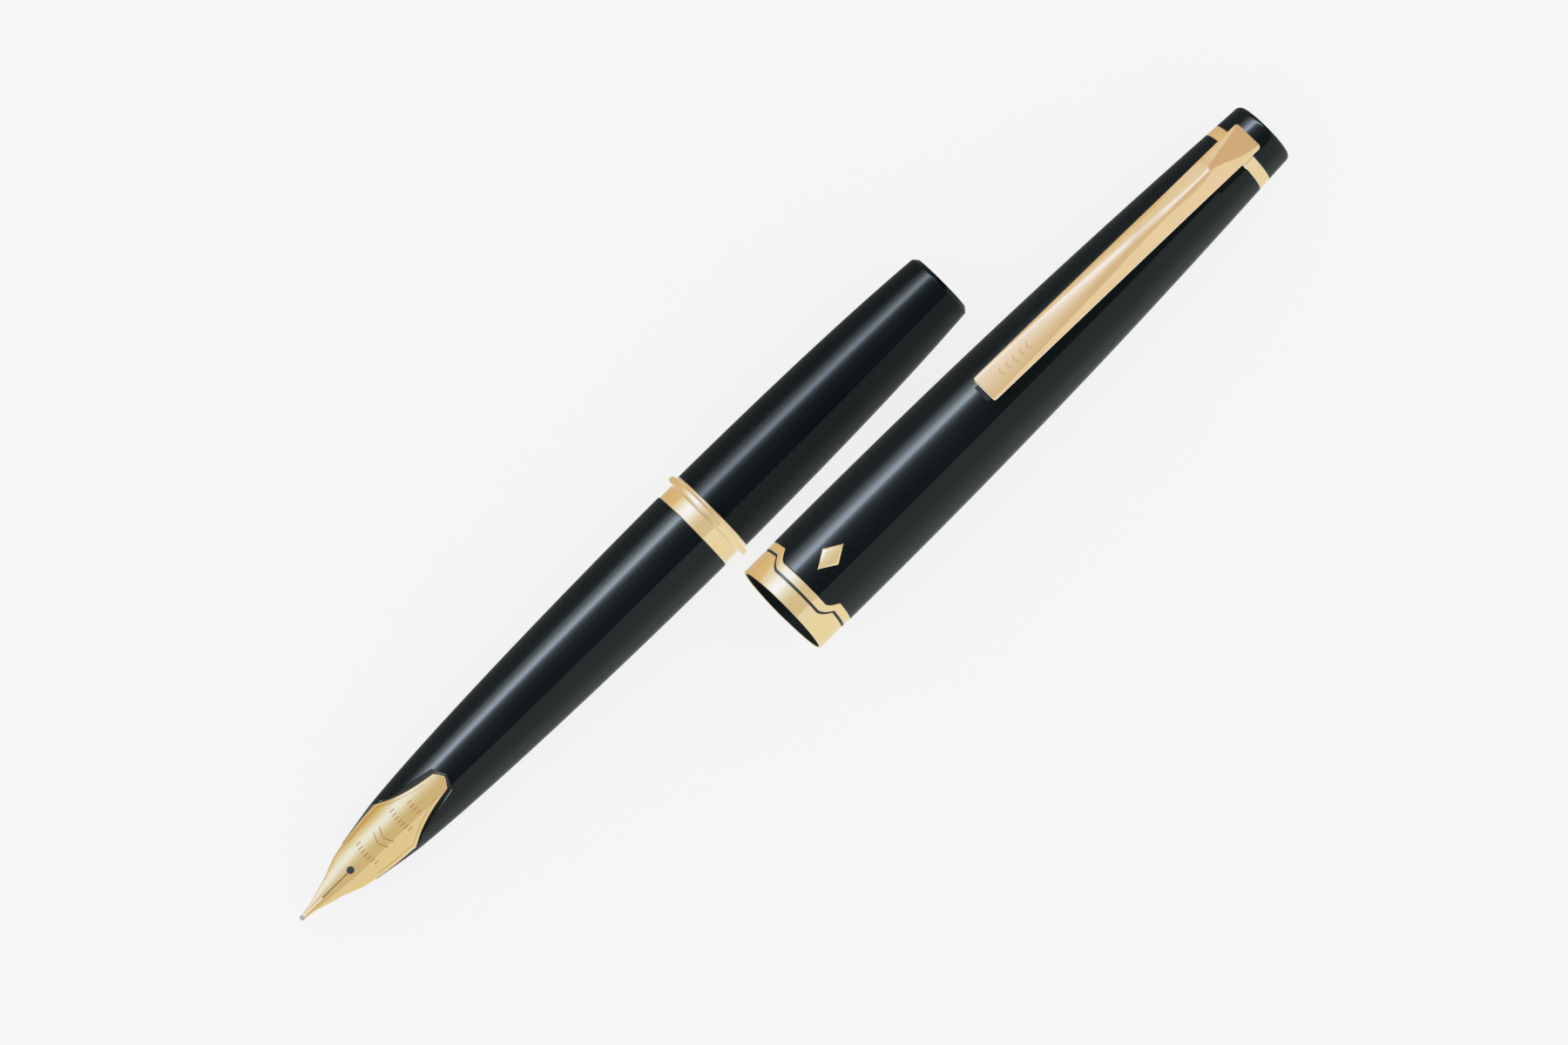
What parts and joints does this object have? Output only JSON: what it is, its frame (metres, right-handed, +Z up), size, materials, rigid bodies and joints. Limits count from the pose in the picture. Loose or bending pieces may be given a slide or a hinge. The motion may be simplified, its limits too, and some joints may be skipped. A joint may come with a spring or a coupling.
{
  "type": "fountain pen",
  "caption": "Pocket fountain pen lying uncapped beside its cap, with inlaid nib, gold trim, screw-off barrel, piston converter and sprung pocket clip.",
  "frame": {"origin": "centre of the bounding box's bottom face, on the surface that pen and cap lie on", "axes": "+X from the nib towards the barrel's tail and the cap's top, +Y from the cap towards the pen, +Z up"},
  "size_m": [0.1452, 0.0266, 0.0139],
  "materials": {
    "black_resin": "polished black resin",
    "gold_trim": "polished gold plate",
    "nib_gold": "polished gold alloy",
    "tipping": "ground hard metal",
    "steel": "plated steel",
    "brass": "turned brass",
    "enamel": "dark fill",
    "feed_plastic": "moulded black",
    "dark_plastic": "moulded dark",
    "pale_plastic": "moulded off-white",
    "clear_plastic": "clear moulded plastic",
    "seal_rubber": "soft black rubber"
  },
  "bodies": {
    "pen_front": {"nib": "nib_gold", "nib_tip": "tipping", "feed": "feed_plastic", "feed_housing": "dark_plastic", "ink_nipple": "dark_plastic", "section_shell": "black_resin", "section_sleeve": "brass", "section_band": "gold_trim", "stop_flange": "gold_trim"},
    "trim_ring": {"barrel_trim_ring": "gold_trim"},
    "barrel": {"barrel_shell": "black_resin", "barrel_thread_insert": "brass"},
    "converter": {"converter_mouth": "dark_plastic", "converter_tube": "clear_plastic", "converter_sleeve": "steel", "rod_guide": "pale_plastic"},
    "knob": {"converter_knob": "dark_plastic"},
    "piston": {"piston_rod": "pale_plastic", "piston_head": "pale_plastic", "piston_seal": "seal_rubber"},
    "cap": {"cap_shell": "black_resin", "cap_band": "gold_trim", "cap_band_inlay": "enamel", "cap_emblem": "gold_trim", "cap_grip_ring": "steel", "inner_cap": "dark_plastic", "finial_screw": "brass", "clip_ring": "gold_trim", "finial": "black_resin"},
    "clip": {"clip": "gold_trim", "clip_foot": "dark_plastic"}
  },
  "joints": [
    {"name": "barrel_twist", "type": "hinge", "parent": "pen_front", "child": "trim_ring", "pos_m": [-0.00515, 0.00702, 0.00627], "axis": [0.9993, 0, 0.0386], "range_deg": [0, 2160]},
    {"name": "barrel_draw", "type": "slide", "parent": "trim_ring", "child": "barrel", "axis": [0.9993, 0, 0.0386], "range_m": [0, 0.036]},
    {"name": "converter_pull", "type": "slide", "parent": "pen_front", "child": "converter", "axis": [0.9993, 0, 0.0386], "range_m": [0, 0.007]},
    {"name": "knob_turn", "type": "hinge", "parent": "converter", "child": "knob", "pos_m": [0.00868, 0.00702, 0.0068], "axis": [-0.9993, 0, -0.0386], "range_deg": [0, 1800]},
    {"name": "piston_slide", "type": "slide", "parent": "converter", "child": "piston", "axis": [0.9993, 0, 0.0386], "range_m": [0, 0.016]},
    {"name": "cap_pull", "type": "slide", "parent": "pen_front", "child": "cap", "axis": [1, 0, 0], "range_m": [0, 0.042]},
    {"name": "clip_flex", "type": "hinge", "parent": "cap", "child": "clip", "pos_m": [0.0664, -0.00622, 0.00872], "axis": [-0.0045, 0.9799, -0.1993], "range_deg": [0, 3], "stiffness_Nm_per_rad": 2}
  ],
  "couplings": [
    {"joint": "knob_turn", "follows": "piston_slide", "rad_per_m": 1963.5}
  ]
}
